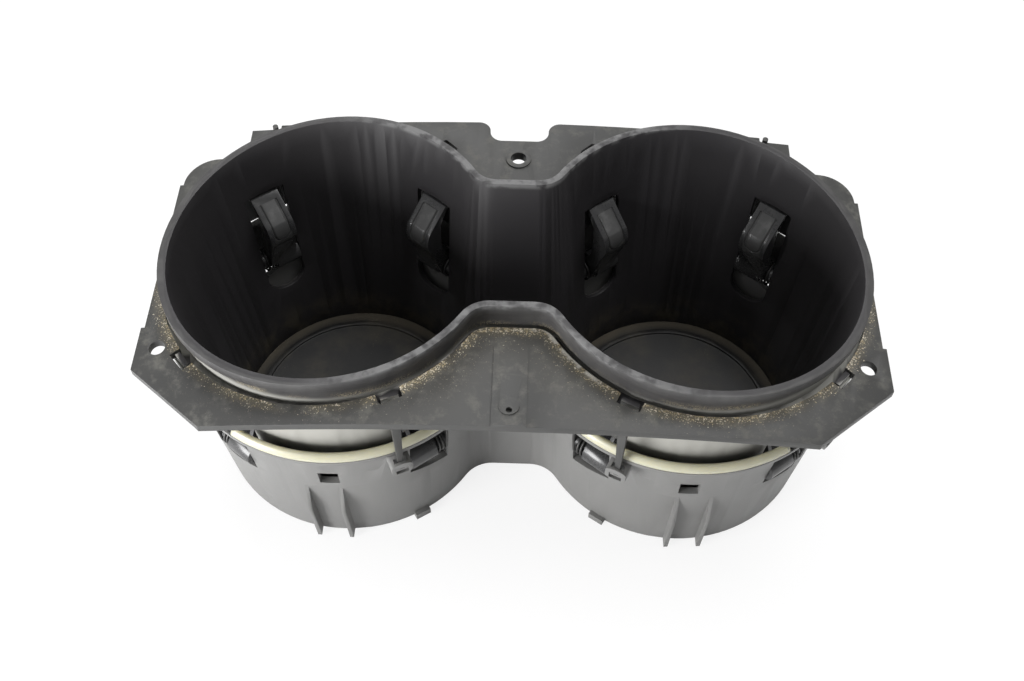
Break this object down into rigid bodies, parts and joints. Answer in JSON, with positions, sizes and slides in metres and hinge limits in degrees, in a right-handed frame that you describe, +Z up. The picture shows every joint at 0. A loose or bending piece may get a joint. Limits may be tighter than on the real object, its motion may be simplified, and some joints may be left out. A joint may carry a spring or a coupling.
{
  "type": "car cup holder",
  "caption": "Drop-in twin cup holder for a centre console: figure-of-eight well under a crowned screw flange, with sprung hinged grip fingers, a lower housing and light guide bars.",
  "frame": {"origin": "middle of the base that the holder stands on", "axes": "+X along the two cups, +Y to the rear notch, +Z up"},
  "size_m": [0.198, 0.1036, 0.089],
  "materials": {
    "liner_plastic": "matte",
    "frame_plastic": "matte, worn",
    "housing_plastic": "matte, dusty",
    "guide_plastic": "translucent, satin",
    "mat_rubber": "matte",
    "finger_plastic": "satin, worn",
    "pad_rubber": "matte",
    "pin_steel": "plain",
    "spring_steel": "plain"
  },
  "bodies": {
    "holder": {"cup_liner": "liner_plastic", "mounting_frame": "frame_plastic", "lower_housing": "housing_plastic", "light_guide_left": "guide_plastic", "light_guide_right": "guide_plastic", "floor_mat_left": "mat_rubber", "floor_mat_right": "mat_rubber", "finger_pin_left_front_outer": "pin_steel", "finger_spring_left_front_outer": "spring_steel", "finger_pin_left_front_inner": "pin_steel", "finger_spring_left_front_inner": "spring_steel", "finger_pin_left_rear_outer": "pin_steel", "finger_spring_left_rear_outer": "spring_steel", "finger_pin_left_rear_inner": "pin_steel", "finger_spring_left_rear_inner": "spring_steel", "finger_pin_right_front_outer": "pin_steel", "finger_spring_right_front_outer": "spring_steel", "finger_pin_right_front_inner": "pin_steel", "finger_spring_right_front_inner": "spring_steel", "finger_pin_right_rear_outer": "pin_steel", "finger_spring_right_rear_outer": "spring_steel", "finger_pin_right_rear_inner": "pin_steel", "finger_spring_right_rear_inner": "spring_steel"},
    "finger_left_front_outer": {"grip_finger_left_front_outer": "finger_plastic", "finger_pad_left_front_outer": "pad_rubber"},
    "finger_left_front_inner": {"grip_finger_left_front_inner": "finger_plastic", "finger_pad_left_front_inner": "pad_rubber"},
    "finger_left_rear_outer": {"grip_finger_left_rear_outer": "finger_plastic", "finger_pad_left_rear_outer": "pad_rubber"},
    "finger_left_rear_inner": {"grip_finger_left_rear_inner": "finger_plastic", "finger_pad_left_rear_inner": "pad_rubber"},
    "finger_right_front_outer": {"grip_finger_right_front_outer": "finger_plastic", "finger_pad_right_front_outer": "pad_rubber"},
    "finger_right_front_inner": {"grip_finger_right_front_inner": "finger_plastic", "finger_pad_right_front_inner": "pad_rubber"},
    "finger_right_rear_outer": {"grip_finger_right_rear_outer": "finger_plastic", "finger_pad_right_rear_outer": "pad_rubber"},
    "finger_right_rear_inner": {"grip_finger_right_rear_inner": "finger_plastic", "finger_pad_right_rear_inner": "pad_rubber"}
  },
  "joints": [
    {"name": "left_front_outer_swing", "type": "hinge", "parent": "holder", "child": "finger_left_front_outer", "pos_m": [-0.07558, -0.03394, 0.038], "axis": [0.7986, -0.6018, 0], "range_deg": [0, 22], "stiffness_Nm_per_rad": 0.04, "springref_deg": -22.92, "deforming": ["finger_spring_left_front_outer"]},
    {"name": "left_front_inner_swing", "type": "hinge", "parent": "holder", "child": "finger_left_front_inner", "pos_m": [-0.02442, -0.03394, 0.038], "axis": [0.7986, 0.6018, 0], "range_deg": [0, 22], "stiffness_Nm_per_rad": 0.04, "springref_deg": -22.92, "deforming": ["finger_spring_left_front_inner"]},
    {"name": "left_rear_outer_swing", "type": "hinge", "parent": "holder", "child": "finger_left_rear_outer", "pos_m": [-0.07558, 0.03394, 0.038], "axis": [-0.7986, -0.6018, 0], "range_deg": [0, 22], "stiffness_Nm_per_rad": 0.04, "springref_deg": -22.92, "deforming": ["finger_spring_left_rear_outer"]},
    {"name": "left_rear_inner_swing", "type": "hinge", "parent": "holder", "child": "finger_left_rear_inner", "pos_m": [-0.02442, 0.03394, 0.038], "axis": [-0.7986, 0.6018, 0], "range_deg": [0, 22], "stiffness_Nm_per_rad": 0.04, "springref_deg": -22.92, "deforming": ["finger_spring_left_rear_inner"]},
    {"name": "right_front_outer_swing", "type": "hinge", "parent": "holder", "child": "finger_right_front_outer", "pos_m": [0.07558, -0.03394, 0.038], "axis": [0.7986, 0.6018, 0], "range_deg": [0, 22], "stiffness_Nm_per_rad": 0.04, "springref_deg": -22.92, "deforming": ["finger_spring_right_front_outer"]},
    {"name": "right_front_inner_swing", "type": "hinge", "parent": "holder", "child": "finger_right_front_inner", "pos_m": [0.02442, -0.03394, 0.038], "axis": [0.7986, -0.6018, 0], "range_deg": [0, 22], "stiffness_Nm_per_rad": 0.04, "springref_deg": -22.92, "deforming": ["finger_spring_right_front_inner"]},
    {"name": "right_rear_outer_swing", "type": "hinge", "parent": "holder", "child": "finger_right_rear_outer", "pos_m": [0.07558, 0.03394, 0.038], "axis": [-0.7986, 0.6018, 0], "range_deg": [0, 22], "stiffness_Nm_per_rad": 0.04, "springref_deg": -22.92, "deforming": ["finger_spring_right_rear_outer"]},
    {"name": "right_rear_inner_swing", "type": "hinge", "parent": "holder", "child": "finger_right_rear_inner", "pos_m": [0.02442, 0.03394, 0.038], "axis": [-0.7986, -0.6018, 0], "range_deg": [0, 22], "stiffness_Nm_per_rad": 0.04, "springref_deg": -22.92, "deforming": ["finger_spring_right_rear_inner"]}
  ]
}
